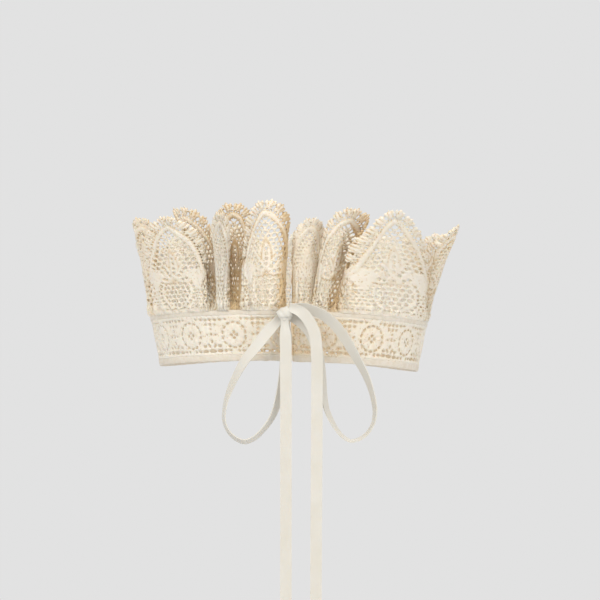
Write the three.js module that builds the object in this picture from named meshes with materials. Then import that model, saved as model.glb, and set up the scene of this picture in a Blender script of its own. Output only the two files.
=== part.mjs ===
// Lace collar on a straight neck band, tied in front with a ribbon bow.
// Millimetres, +Z up. The origin is the centre of the hem line, +X is the
// collar's left-to-right as a viewer in front of it sees it, -Y is its front.
import * as THREE from "three";

// ---------- driving sizes ----------
const HEM_HALF_WIDTH = 62.6;
const HEM_HALF_DEPTH = 56;
const FLARE = 5;
const BAND_TOP = 24.4;
const SEAM_GAP = 0.3;
const HEM_TAPE_HEIGHT = 3;
const SEAM_TAPE_HEIGHT = 2.4;
const FRONT_LIFT = 2;
const BACK_LIFT = 6;
const SIDE_LIFT = 1.4;

const BAND_THICK = 1.2;
const TAPE_THICK = 1.6;
const RUFFLE_THICK = 1;

const OPENING_LEFT = -2.6;
const OPENING_RIGHT = 1.4;
const BACK_SPLIT = 0.14;

const SCALLOP_WIDTH = 40;
const SCALLOP_DEPTH = 0.5;
const EDGE_TEETH = 0.55;
const COLUMNS_PER_SCALLOP = 14;
const RUFFLE_FOOT = BAND_TOP + SEAM_GAP;
const RUFFLE_LEVELS = [0, 0.14, 0.34, 0.58, 0.82, 1];
const OPENING_POWER = 0.3;

const BACK_WAVES = 8;
const BACK_TOP_HALF_WIDTH = 78;
const BACK_TOP_HALF_DEPTH = 71;
const BACK_RISE = 46;

const RIBBON_WIDTH = 5.5;
const RIBBON_THICK = 1;
const RIBBON_PINCH = 0.7;
const PINCH_LENGTH = 9;

const KNOT_CENTRE = { x: -2.4, y: -67, z: 23.9 };
const KNOT_HALF = { x: 3.3, y: 3.4, z: 3.5 };
const KNOT_TILT = -14;

// ---------- tables ----------
// How far the ring is drawn inward near the front opening, by angle.
const INSETS = [
  { angle: -180, inset: 0 },
  { angle: -26, inset: 0 },
  { angle: -18, inset: 0.6 },
  { angle: -11, inset: 1 },
  { angle: -7.5, inset: 0.6 },
  { angle: -5, inset: 3 },
  { angle: -2.6, inset: 6.8 },
  { angle: 0, inset: 8.5 },
  { angle: 1.4, inset: 9 },
  { angle: 7, inset: 9.2 },
  { angle: 14, inset: 8.2 },
  { angle: 21, inset: 5 },
  { angle: 28, inset: 1.6 },
  { angle: 35, inset: 0.2 },
  { angle: 42, inset: 0 },
  { angle: 180, inset: 0 },
];

// Folds of the ruffle from the left side of the opening round the neck:
// lace counts scallops along the strip, angle and tuck place its foot,
// x and y place its top edge, rise is the height of the full lace there.
const LEFT_FOLDS = [
  { lace: 0, angle: -2.6, tuck: 1.4, x: -3.5, y: -48.5, rise: 51.5 },
  { lace: 0.18, angle: -3.1, tuck: -0.4, x: 1, y: -56, rise: 54.5 },
  { lace: 0.34, angle: -5, tuck: -1.4, x: -3.8, y: -64.5, rise: 54 },
  { lace: 0.5, angle: -9.5, tuck: -1, x: -12, y: -68, rise: 52.4 },
  { lace: 1, angle: -18.6, tuck: -2.4, x: -22, y: -76, rise: 49.8 },
  { lace: 1.2, angle: -20.6, tuck: 0.2, x: -17.5, y: -65.5, rise: 50.5 },
  { lace: 1.36, angle: -21.9, tuck: 2.4, x: -21, y: -57, rise: 52 },
  { lace: 1.52, angle: -23.3, tuck: 2.7, x: -28.5, y: -53.5, rise: 52.2 },
  { lace: 1.68, angle: -24.6, tuck: 2.4, x: -35, y: -52, rise: 52 },
  { lace: 1.98, angle: -26, tuck: -0.8, x: -28.4, y: -64, rise: 49.5 },
  { lace: 2.22, angle: -27, tuck: -2.4, x: -28, y: -77, rise: 47 },
  { lace: 2.46, angle: -28.1, tuck: -2.7, x: -32.4, y: -79.5, rise: 45.8 },
  { lace: 2.7, angle: -29.2, tuck: -2.2, x: -36.8, y: -77.2, rise: 46.5 },
  { lace: 2.9, angle: -30.2, tuck: -0.2, x: -37.4, y: -68, rise: 49 },
  { lace: 3.12, angle: -31.4, tuck: 2.7, x: -38.2, y: -57.5, rise: 53.5 },
  { lace: 3.42, angle: -32.4, tuck: 2.8, x: -51, y: -50, rise: 51 },
  { lace: 3.62, angle: -33.4, tuck: 2.4, x: -57.5, y: -50.5, rise: 50 },
  { lace: 3.8, angle: -34.4, tuck: 0.6, x: -53.5, y: -58, rise: 48.5 },
  { lace: 4.06, angle: -35.8, tuck: -2.2, x: -40.2, y: -69.2, rise: 45.6 },
  { lace: 4.5, angle: -50, tuck: -1.4, x: -60, y: -61.5, rise: 45.4 },
  { lace: 4.96, angle: -67, tuck: -2, x: -74.6, y: -43.5, rise: 46 },
  { lace: 5.26, angle: -77, tuck: 2.8, x: -67, y: -31, rise: 47.5 },
  { lace: 5.62, angle: -85, tuck: -0.6, x: -77.8, y: -17, rise: 49 },
];
const RIGHT_FOLDS = [
  { lace: 15.45, angle: 82.5, tuck: -0.6, x: 83.6, y: -27, rise: 47.2 },
  { lace: 15.74, angle: 78, tuck: 1.2, x: 71.5, y: -40.5, rise: 43.5 },
  { lace: 15.9, angle: 75.5, tuck: 2.6, x: 65.5, y: -48, rise: 45.5 },
  { lace: 16.08, angle: 71.5, tuck: -2, x: 67, y: -57.5, rise: 46.5 },
  { lace: 16.5, angle: 46, tuck: -1.2, x: 50, y: -72, rise: 49.8 },
  { lace: 16.74, angle: 35, tuck: -1.7, x: 38.2, y: -73.6, rise: 47 },
  { lace: 16.94, angle: 25.5, tuck: -2.2, x: 25.8, y: -72, rise: 48 },
  { lace: 17.08, angle: 22.8, tuck: 0, x: 32, y: -67, rise: 48.5 },
  { lace: 17.22, angle: 21, tuck: 2.2, x: 41, y: -60, rise: 50.5 },
  { lace: 17.34, angle: 19.6, tuck: 2.6, x: 39.5, y: -54.5, rise: 50.5 },
  { lace: 17.42, angle: 18, tuck: 1.2, x: 34, y: -59.5, rise: 49.6 },
  { lace: 17.52, angle: 16, tuck: -1.2, x: 30, y: -66, rise: 49.4 },
  { lace: 17.82, angle: 12.4, tuck: -0.6, x: 18.8, y: -66, rise: 51 },
  { lace: 18.08, angle: 10.6, tuck: 2.6, x: 20.5, y: -54, rise: 49 },
  { lace: 18.3, angle: 9, tuck: 1.2, x: 16.6, y: -54.5, rise: 46.5 },
  { lace: 18.5, angle: 6.4, tuck: -0.8, x: 10.5, y: -58.5, rise: 45 },
  { lace: 18.74, angle: 3, tuck: -1, x: 2.6, y: -57.5, rise: 44.6 },
  { lace: 19, angle: 1.4, tuck: 0.6, x: 1.4, y: -50, rise: 45 },
];

// Ribbon runs: turn is how far the width is turned out of the front plane.
const LEFT_LOOP = [
  { x: -5, y: -67.2, z: 21.2, turn: 0 },
  { x: -10.3, y: -67.6, z: 15.8, turn: 8 },
  { x: -16.3, y: -67.6, z: 8.1, turn: 24 },
  { x: -21.2, y: -67.4, z: 1.9, turn: 40 },
  { x: -25.5, y: -67, z: -5.5, turn: 54 },
  { x: -28.9, y: -66.6, z: -12.9, turn: 62 },
  { x: -30.9, y: -66.2, z: -20.3, turn: 70 },
  { x: -31.3, y: -65.6, z: -26, turn: 74 },
  { x: -29.4, y: -65.2, z: -31.5, turn: 76 },
  { x: -25.5, y: -64.8, z: -35.4, turn: 74 },
  { x: -21.5, y: -64.5, z: -36.9, turn: 71 },
  { x: -17, y: -64.3, z: -35.3, turn: 69 },
  { x: -12, y: -64, z: -30.5, turn: 66 },
  { x: -8.4, y: -63.8, z: -25.2, turn: 62 },
  { x: -5.3, y: -63.7, z: -16.9, turn: 54 },
  { x: -3.1, y: -63.6, z: -7.3, turn: 40 },
  { x: -1.9, y: -63.6, z: 4.6, turn: 20 },
  { x: -1.7, y: -64.2, z: 14.7, turn: 6 },
  { x: -2.5, y: -65.6, z: 20.2, turn: 0 },
];
const RIGHT_LOOP = [
  { x: 1.4, y: -66, z: 26.8, turn: 0 },
  { x: 5.5, y: -66.2, z: 26.9, turn: 12 },
  { x: 10.3, y: -66.2, z: 26, turn: 28 },
  { x: 15.4, y: -66.2, z: 24, turn: 32 },
  { x: 20.2, y: -66.1, z: 20.4, turn: 30 },
  { x: 24.8, y: -66, z: 15.1, turn: 32 },
  { x: 28.8, y: -65.8, z: 8.7, turn: 40 },
  { x: 32.9, y: -65.6, z: 1.4, turn: 50 },
  { x: 36.1, y: -65.4, z: -4.6, turn: 56 },
  { x: 38.4, y: -65.2, z: -10.2, turn: 63 },
  { x: 40.1, y: -65, z: -16.5, turn: 70 },
  { x: 40.8, y: -64.8, z: -22.6, turn: 74 },
  { x: 39.7, y: -64.6, z: -28.5, turn: 76 },
  { x: 37, y: -64.4, z: -32.8, turn: 75 },
  { x: 33.5, y: -64.2, z: -35.4, turn: 74 },
  { x: 29.4, y: -64, z: -36.5, turn: 74 },
  { x: 25.7, y: -63.8, z: -34.6, turn: 74 },
  { x: 22.6, y: -63.6, z: -31.2, turn: 72 },
  { x: 20.1, y: -63.5, z: -26.8, turn: 69 },
  { x: 18, y: -63.4, z: -21.9, turn: 66 },
  { x: 16.4, y: -63.4, z: -14.5, turn: 54 },
  { x: 15.3, y: -63.4, z: -6.4, turn: 38 },
  { x: 13.8, y: -63.4, z: 3.2, turn: 20 },
  { x: 11.9, y: -63.4, z: 11.8, turn: 8 },
  { x: 8.1, y: -63.4, z: 18, turn: 0 },
  { x: 4.2, y: -63.6, z: 21.2, turn: 0 },
  { x: 0.6, y: -64.2, z: 22.9, turn: 0 },
];
const LEFT_TAIL = [
  { x: -2.3, y: -69.4, z: 20.7, turn: 0 },
  { x: -2.1, y: -69.6, z: 15.9, turn: 0 },
  { x: -1.8, y: -69.4, z: 8, turn: 0 },
  { x: -1.7, y: -68.8, z: -12, turn: 0 },
  { x: -1.7, y: -68, z: -50, turn: 2 },
  { x: -1.7, y: -67.6, z: -100, turn: 4 },
  { x: -1.8, y: -67.4, z: -154, turn: 6 },
];
const RIGHT_TAIL = [
  { x: 1, y: -69.8, z: 26.7, turn: 0 },
  { x: 3.8, y: -70.5, z: 25.8, turn: 0 },
  { x: 7.1, y: -70.4, z: 23.5, turn: 0 },
  { x: 10, y: -70.2, z: 19.4, turn: 0 },
  { x: 12, y: -69.9, z: 14.4, turn: 0 },
  { x: 12.8, y: -69.6, z: 8.9, turn: 0 },
  { x: 13.1, y: -69.3, z: 3, turn: 0 },
  { x: 13.1, y: -68.8, z: -7.5, turn: 0 },
  { x: 12.9, y: -68, z: -50, turn: -3 },
  { x: 12.6, y: -67.6, z: -100, turn: -5 },
  { x: 12.5, y: -67.4, z: -155, turn: -6 },
];
const LEFT_TIE = [
  { x: -4.9, y: -59.8, z: 21.7, turn: 0 },
  { x: -4.4, y: -61.2, z: 22.8, turn: 0 },
  { x: -3.6, y: -62.7, z: 24.2, turn: 0 },
];
const RIGHT_TIE = [
  { x: 3, y: -54.2, z: 22.9, turn: 0 },
  { x: 1.9, y: -57.8, z: 24.2, turn: 0 },
  { x: -0.6, y: -63.1, z: 25.2, turn: 0 },
];

// ---------- helpers ----------
const radians = THREE.MathUtils.degToRad;
const CLOTH = new THREE.MeshStandardMaterial({ color: 0xf1e8d6, roughness: 0.9 });
const SATIN = new THREE.MeshStandardMaterial({ color: 0xebe6da, roughness: 0.6 });

// Smooth curve through one column of a table, rows in rising order of key.
function smooth(rows, key, column, at) {
  let index = 0;
  while (index < rows.length - 2 && at > rows[index + 1][key]) {
    index += 1;
  }
  const slope = (row) => {
    const low = Math.max(row - 1, 0);
    const high = Math.min(row + 1, rows.length - 1);
    const before = row > low ? rows[row][key] - rows[low][key] : 0;
    const after = high > row ? rows[high][key] - rows[row][key] : 0;
    const rateBefore = before > 0 ? (rows[row][column] - rows[low][column]) / before : 0;
    const rateAfter = after > 0 ? (rows[high][column] - rows[row][column]) / after : 0;
    return (rateBefore * after + rateAfter * before) / (before + after) ||
      (before > 0 ? rateBefore : rateAfter);
  };
  const span = rows[index + 1][key] - rows[index][key];
  const share = (at - rows[index][key]) / span;
  const start = rows[index][column];
  const end = rows[index + 1][column];
  const curve = share * share * (3 - 2 * share);
  const leave = share * (1 - share) * (1 - share) * span * slope(index);
  const arrive = share * share * (share - 1) * span * slope(index + 1);
  return start + (end - start) * curve + leave + arrive;
}

function wrapped(angle) {
  return ((angle + 180) % 360 + 360) % 360 - 180;
}

// Point on the neck ring. Angle runs from the front, positive toward +X.
function ringPoint(angle, height, tuck) {
  const turn = radians(angle);
  const halfWidth = HEM_HALF_WIDTH + FLARE * height / BAND_TOP;
  const halfDepth = HEM_HALF_DEPTH + FLARE * height / BAND_TOP;
  const out = new THREE.Vector3(Math.sin(turn) / halfWidth, -Math.cos(turn) / halfDepth, 0);
  out.normalize();
  const inward = smooth(INSETS, "angle", "inset", wrapped(angle)) + tuck;
  const facing = Math.cos(turn);
  const lift = (facing > 0 ? FRONT_LIFT : BACK_LIFT) * facing * facing;
  const z = height + lift - SIDE_LIFT * Math.sin(turn);
  const point = new THREE.Vector3(halfWidth * Math.sin(turn), -halfDepth * Math.cos(turn), z);
  return point.addScaledVector(out, -inward);
}

// Folds of the hidden half, evenly waved round the back of the neck.
function backFolds(first, last) {
  const folds = [];
  const steps = 2 * BACK_WAVES;
  for (let step = 1; step < steps; step += 1) {
    const share = step / steps;
    const angle = first.angle + (last.angle - first.angle) * share + 1.2 * Math.sin(2.4 * step);
    const isTrough = step % 2 === 1;
    const reachOut = 9 + 2.5 * Math.sin(2.9 * step);
    const reachIn = -13 + 2 * Math.sin(1.7 * step);
    const reach = isTrough ? reachIn : reachOut;
    const lean = radians(angle + 2.5 * Math.sin(1.3 * step + 0.5));
    folds.push({
      lace: first.lace + (last.lace - first.lace) * share,
      angle,
      tuck: isTrough ? 2.8 : -2.4,
      x: (BACK_TOP_HALF_WIDTH + reach) * Math.sin(lean),
      y: -(BACK_TOP_HALF_DEPTH + reach) * Math.cos(lean),
      rise: BACK_RISE + 1.5 * Math.sin(2.2 * step),
    });
  }
  return folds;
}

const rightRows = RIGHT_FOLDS.map((fold) => ({ ...fold, angle: fold.angle - 360 }));
const FOLDS = [
  ...LEFT_FOLDS,
  ...backFolds(LEFT_FOLDS[LEFT_FOLDS.length - 1], rightRows[0]),
  ...rightRows,
];

function scallopEdge(lace) {
  const fromMiddle = Math.abs(lace - Math.floor(lace) - 0.5) * 2;
  return 1 - SCALLOP_DEPTH * fromMiddle * fromMiddle;
}

// Point on the ruffle: lace along the strip, level 0 at its foot, 1 at full lace.
function rufflePoint(lace, level) {
  const angle = smooth(FOLDS, "lace", "angle", lace);
  const tuck = smooth(FOLDS, "lace", "tuck", lace);
  const point = ringPoint(angle, RUFFLE_FOOT, tuck);
  const open = level * Math.pow(Math.abs(level), OPENING_POWER);
  point.x += (smooth(FOLDS, "lace", "x", lace) - point.x) * open;
  point.y += (smooth(FOLDS, "lace", "y", lace) - point.y) * open;
  point.z += smooth(FOLDS, "lace", "rise", lace) * level;
  return point;
}

// Closed slab from two matching grids of points, outer[column][row].
function slab(outer, inner) {
  const columns = outer.length;
  const rows = outer[0].length;
  const positions = [];
  const triangles = [];
  for (const side of [outer, inner]) {
    for (const column of side) {
      for (const point of column) {
        positions.push(point.x, point.y, point.z);
      }
    }
  }
  const at = (side, column, row) => (side * columns + column) * rows + row;
  const quad = (a, b, c, d) => {
    triangles.push(a, b, c, a, c, d);
  };
  for (let c = 0; c < columns - 1; c += 1) {
    for (let r = 0; r < rows - 1; r += 1) {
      quad(at(0, c, r), at(0, c + 1, r), at(0, c + 1, r + 1), at(0, c, r + 1));
      quad(at(1, c, r), at(1, c, r + 1), at(1, c + 1, r + 1), at(1, c + 1, r));
    }
    quad(at(0, c, 0), at(1, c, 0), at(1, c + 1, 0), at(0, c + 1, 0));
    const top = rows - 1;
    quad(at(0, c, top), at(0, c + 1, top), at(1, c + 1, top), at(1, c, top));
  }
  const last = columns - 1;
  for (let r = 0; r < rows - 1; r += 1) {
    quad(at(0, 0, r), at(0, 0, r + 1), at(1, 0, r + 1), at(1, 0, r));
    quad(at(0, last, r), at(1, last, r), at(1, last, r + 1), at(0, last, r + 1));
  }
  const geometry = new THREE.BufferGeometry();
  geometry.setAttribute("position", new THREE.Float32BufferAttribute(positions, 3));
  geometry.setIndex(triangles);
  if (volume(positions, triangles) < 0) {
    geometry.index.array.reverse();
  }
  geometry.computeVertexNormals();
  return geometry;
}

function volume(positions, triangles) {
  let total = 0;
  const corner = (index) => new THREE.Vector3().fromArray(positions, index * 3);
  for (let first = 0; first < triangles.length; first += 3) {
    const a = corner(triangles[first]);
    const b = corner(triangles[first + 1]);
    const c = corner(triangles[first + 2]);
    total += a.dot(b.cross(c)) / 6;
  }
  return total;
}

// Slab of cloth on a surface: pointAt(u, v) over the given u and v stations.
function clothSlab(pointAt, stations, levels, thickness) {
  const small = 0.002;
  const outer = [];
  const inner = [];
  for (const u of stations) {
    const outerColumn = [];
    const innerColumn = [];
    for (const v of levels) {
      const along = pointAt(u + small, v).sub(pointAt(u - small, v));
      const up = pointAt(u, v + small).sub(pointAt(u, v - small));
      const normal = along.cross(up).normalize().multiplyScalar(thickness / 2);
      outerColumn.push(pointAt(u, v).add(normal));
      innerColumn.push(pointAt(u, v).sub(normal));
    }
    outer.push(outerColumn);
    inner.push(innerColumn);
  }
  return slab(outer, inner);
}

function evenly(from, to, count) {
  return Array.from({ length: count + 1 }, (_, step) => from + (to - from) * step / count);
}

// Strip of the neck ring between two angles and two heights.
function ringStrip(fromAngle, toAngle, low, high, thickness, rows) {
  const columns = Math.ceil(Math.abs(toAngle - fromAngle) / 3.2);
  const pointAt = (angle, height) => ringPoint(angle, height, 0);
  return clothSlab(pointAt, evenly(fromAngle, toAngle, columns), evenly(low, high, rows), thickness);
}

// Stretch of the ruffle, its top edge cut in scallops with small teeth.
function ruffleStrip(from, to) {
  const columns = Math.round((to - from) * COLUMNS_PER_SCALLOP);
  const pointAt = (lace, share) => {
    const phase = Math.round((lace - from) / (to - from) * columns) % 2;
    const tooth = 1 + (phase - 0.5) * EDGE_TEETH * 2 / SCALLOP_WIDTH * share;
    return rufflePoint(lace, scallopEdge(lace) * share * tooth);
  };
  return clothSlab(pointAt, evenly(from, to, columns), RUFFLE_LEVELS, RUFFLE_THICK);
}

// Flat ribbon along a run, pinched narrow at the ends that enter the knot.
function ribbon(run, steps, pinchStart, pinchEnd) {
  const curve = new THREE.CatmullRomCurve3(
    run.map((row) => new THREE.Vector3(row.x, row.y, row.z)), false, "centripetal");
  const length = curve.getLength();
  const front = new THREE.Vector3(0, 1, 0);
  const above = new THREE.Vector3(0, 0, 1);
  const outer = [];
  const inner = [];
  const keyed = run.map((row, place) => ({ place, turn: row.turn }));
  for (let step = 0; step <= steps; step += 1) {
    const share = step / steps;
    const centre = curve.getPointAt(share);
    const tangent = curve.getTangentAt(share);
    const place = curve.getUtoTmapping(share) * (run.length - 1);
    const turn = radians(smooth(keyed, "place", "turn", place));
    const isDeep = Math.abs(tangent.y) > 0.7;
    const across = tangent.clone().cross(isDeep ? above : front).normalize();
    const second = tangent.clone().cross(across).normalize();
    const flat = isDeep ? second : across;
    const deep = isDeep ? across : second;
    const wide = flat.multiplyScalar(Math.cos(turn)).addScaledVector(deep, Math.sin(turn));
    const thick = tangent.clone().cross(wide).normalize().multiplyScalar(RIBBON_THICK / 2);
    const fromStart = pinchStart ? share * length / PINCH_LENGTH : 1;
    const fromEnd = pinchEnd ? (1 - share) * length / PINCH_LENGTH : 1;
    const open = THREE.MathUtils.smoothstep(Math.min(fromStart, fromEnd), 0, 1);
    const half = RIBBON_WIDTH / 2 * (RIBBON_PINCH + (1 - RIBBON_PINCH) * open);
    const low = centre.clone().addScaledVector(wide, -half);
    const high = centre.clone().addScaledVector(wide, half);
    outer.push([low.clone().add(thick), high.clone().add(thick)]);
    inner.push([low.clone().sub(thick), high.clone().sub(thick)]);
  }
  return slab(outer, inner);
}

function knot() {
  const geometry = new THREE.SphereGeometry(1, 20, 12);
  geometry.scale(KNOT_HALF.x, KNOT_HALF.y, KNOT_HALF.z);
  geometry.rotateY(radians(KNOT_TILT));
  geometry.translate(KNOT_CENTRE.x, KNOT_CENTRE.y, KNOT_CENTRE.z);
  return geometry;
}

// ---------- assembly ----------
const group = new THREE.Group();
group.name = "lace_collar";

function add(name, geometry, material) {
  const mesh = new THREE.Mesh(geometry, material);
  mesh.name = name;
  group.add(mesh);
}

const bandLow = HEM_TAPE_HEIGHT + SEAM_GAP;
const seamTapeLow = BAND_TOP - SEAM_TAPE_HEIGHT;
const bandHigh = seamTapeLow - SEAM_GAP;
const SIDES = [
  { side: "left", from: OPENING_LEFT, to: -180 + BACK_SPLIT },
  { side: "right", from: OPENING_RIGHT, to: 180 - BACK_SPLIT },
];
for (const { side, from, to } of SIDES) {
  add(`hem_tape_${side}`, ringStrip(from, to, 0, HEM_TAPE_HEIGHT, TAPE_THICK, 1), CLOTH);
  add(`band_${side}`, ringStrip(from, to, bandLow, bandHigh, BAND_THICK, 3), CLOTH);
  add(`seam_tape_${side}`, ringStrip(from, to, seamTapeLow, BAND_TOP, TAPE_THICK, 1), CLOTH);
}

const laceGap = SEAM_GAP / SCALLOP_WIDTH;
const LAST_LACE = FOLDS[FOLDS.length - 1].lace;
const LACE_CUTS = [0, 5.26, 10.48, 15.7, LAST_LACE];
const RUFFLE_NAMES = ["front_left", "back_left", "back_right", "front_right"];
RUFFLE_NAMES.forEach((name, index) => {
  const from = LACE_CUTS[index] + (index > 0 ? laceGap : 0);
  const to = LACE_CUTS[index + 1] - (index < RUFFLE_NAMES.length - 1 ? laceGap : 0);
  add(`ruffle_${name}`, ruffleStrip(from, to), CLOTH);
});

add("tie_left", ribbon(LEFT_TIE, 6, false, true), SATIN);
add("tie_right", ribbon(RIGHT_TIE, 8, false, true), SATIN);
add("bow_knot", knot(), SATIN);
add("loop_left", ribbon(LEFT_LOOP, 56, true, true), SATIN);
add("loop_right", ribbon(RIGHT_LOOP, 60, true, true), SATIN);
add("tail_left", ribbon(LEFT_TAIL, 30, true, false), SATIN);
add("tail_right", ribbon(RIGHT_TAIL, 40, true, false), SATIN);

export default group;
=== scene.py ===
import math

import bpy
import numpy as np
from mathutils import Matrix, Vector


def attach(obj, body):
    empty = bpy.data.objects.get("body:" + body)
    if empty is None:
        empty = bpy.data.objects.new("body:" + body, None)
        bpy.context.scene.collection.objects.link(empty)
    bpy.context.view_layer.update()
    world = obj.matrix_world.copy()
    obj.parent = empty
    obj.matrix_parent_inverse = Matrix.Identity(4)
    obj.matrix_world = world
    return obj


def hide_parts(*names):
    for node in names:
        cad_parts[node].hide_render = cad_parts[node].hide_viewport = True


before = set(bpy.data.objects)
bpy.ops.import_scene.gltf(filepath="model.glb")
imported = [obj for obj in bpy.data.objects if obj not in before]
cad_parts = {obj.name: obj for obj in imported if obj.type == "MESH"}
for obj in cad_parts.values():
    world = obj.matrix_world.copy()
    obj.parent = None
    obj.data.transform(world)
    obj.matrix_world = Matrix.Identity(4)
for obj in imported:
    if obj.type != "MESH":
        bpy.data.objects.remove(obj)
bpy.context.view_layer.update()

bl_info = {
    "name": "Lace collar",
    "version": (1, 0, 0),
    "blender": (4, 5, 0),
    "location": "View3D > Sidebar > Lace collar",
    "description": "Makes a stand-up lace collar with a scalloped ruffle and a ribbon bow",
    "category": "Object",
}

MM = 0.001
# UV units to a millimetre of flat cloth
FLAT_SCALE = 0.1
# millimetres to a hole that isn't there
FAR = 9.0

# ---------- the collar's cut, in millimetres and degrees ----------
HEM_HALF_WIDTH = 62.6
HEM_HALF_DEPTH = 56.0
FLARE = 5.0
BAND_TOP = 24.4
HEM_TAPE_TOP = 3.0
SEAM_TAPE_FOOT = 22.0
FRONT_LIFT = 2.0
BACK_LIFT = 6.0
SIDE_LIFT = 1.4
RUFFLE_FOOT = 24.7
OPENING_POWER = 0.3
OPENING_LEFT = -2.6
OPENING_RIGHT = 1.4
BACK_SPLIT = 0.14

SCALLOP_WIDTH = 40.0
LACE_HEIGHT = 53.0
SCALLOP_DEPTH = 0.5
BACK_WAVES = 8
BACK_TOP_HALF_WIDTH = 78.0
BACK_TOP_HALF_DEPTH = 71.0

# angle, inset: how far the ring is drawn in near the front opening
INSETS = np.array([
    (-180, 0), (-26, 0), (-18, 0.6), (-11, 1), (-7.5, 0.6), (-5, 3), (-2.6, 6.8),
    (0, 8.5), (1.4, 9), (7, 9.2), (14, 8.2), (21, 5), (28, 1.6), (35, 0.2),
    (42, 0), (180, 0),
], float)

# lace, angle, tuck, x, y, rise: the folds of the ruffle's visible front
LACE, ANGLE, TUCK, TOP_X, TOP_Y, RISE = range(6)
LEFT_FOLDS = [
    (0, -2.6, 1.4, -3.5, -48.5, 51.5),
    (0.18, -3.1, -0.4, 1, -56, 54.5),
    (0.34, -5, -1.4, -3.8, -64.5, 54),
    (0.5, -9.5, -1, -12, -68, 52.4),
    (1, -18.6, -2.4, -22, -76, 49.8),
    (1.2, -20.6, 0.2, -17.5, -65.5, 50.5),
    (1.36, -21.9, 2.4, -21, -57, 52),
    (1.52, -23.3, 2.7, -28.5, -53.5, 52.2),
    (1.68, -24.6, 2.4, -35, -52, 52),
    (1.98, -26, -0.8, -28.4, -64, 49.5),
    (2.22, -27, -2.4, -28, -77, 47),
    (2.46, -28.1, -2.7, -32.4, -79.5, 45.8),
    (2.7, -29.2, -2.2, -36.8, -77.2, 46.5),
    (2.9, -30.2, -0.2, -37.4, -68, 49),
    (3.12, -31.4, 2.7, -38.2, -57.5, 53.5),
    (3.42, -32.4, 2.8, -51, -50, 51),
    (3.62, -33.4, 2.4, -57.5, -50.5, 50),
    (3.8, -34.4, 0.6, -53.5, -58, 48.5),
    (4.06, -35.8, -2.2, -40.2, -69.2, 45.6),
    (4.5, -50, -1.4, -60, -61.5, 45.4),
    (4.96, -67, -2, -74.6, -43.5, 46),
    (5.26, -77, 2.8, -67, -31, 47.5),
    (5.62, -85, -0.6, -77.8, -17, 49),
]
RIGHT_FOLDS = [
    (15.45, 82.5, -0.6, 83.6, -27, 47.2),
    (15.74, 78, 1.2, 71.5, -40.5, 43.5),
    (15.9, 75.5, 2.6, 65.5, -48, 45.5),
    (16.08, 71.5, -2, 67, -57.5, 46.5),
    (16.5, 46, -1.2, 50, -72, 49.8),
    (16.74, 35, -1.7, 38.2, -73.6, 47),
    (16.94, 25.5, -2.2, 25.8, -72, 48),
    (17.08, 22.8, 0, 32, -67, 48.5),
    (17.22, 21, 2.2, 41, -60, 50.5),
    (17.34, 19.6, 2.6, 39.5, -54.5, 50.5),
    (17.42, 18, 1.2, 34, -59.5, 49.6),
    (17.52, 16, -1.2, 30, -66, 49.4),
    (17.82, 12.4, -0.6, 18.8, -66, 51),
    (18.08, 10.6, 2.6, 20.5, -54, 49),
    (18.3, 9, 1.2, 16.6, -54.5, 46.5),
    (18.5, 6.4, -0.8, 10.5, -58.5, 45),
    (18.74, 3, -1, 2.6, -57.5, 44.6),
    (19, 1.4, 0.6, 1.4, -50, 45),
]
RUFFLE_LENGTHS = [
    ("front_left", 0, 5.26),
    ("back_left", 5.26, 10.48),
    ("back_right", 10.48, 15.7),
    ("front_right", 15.7, 19),
]

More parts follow.
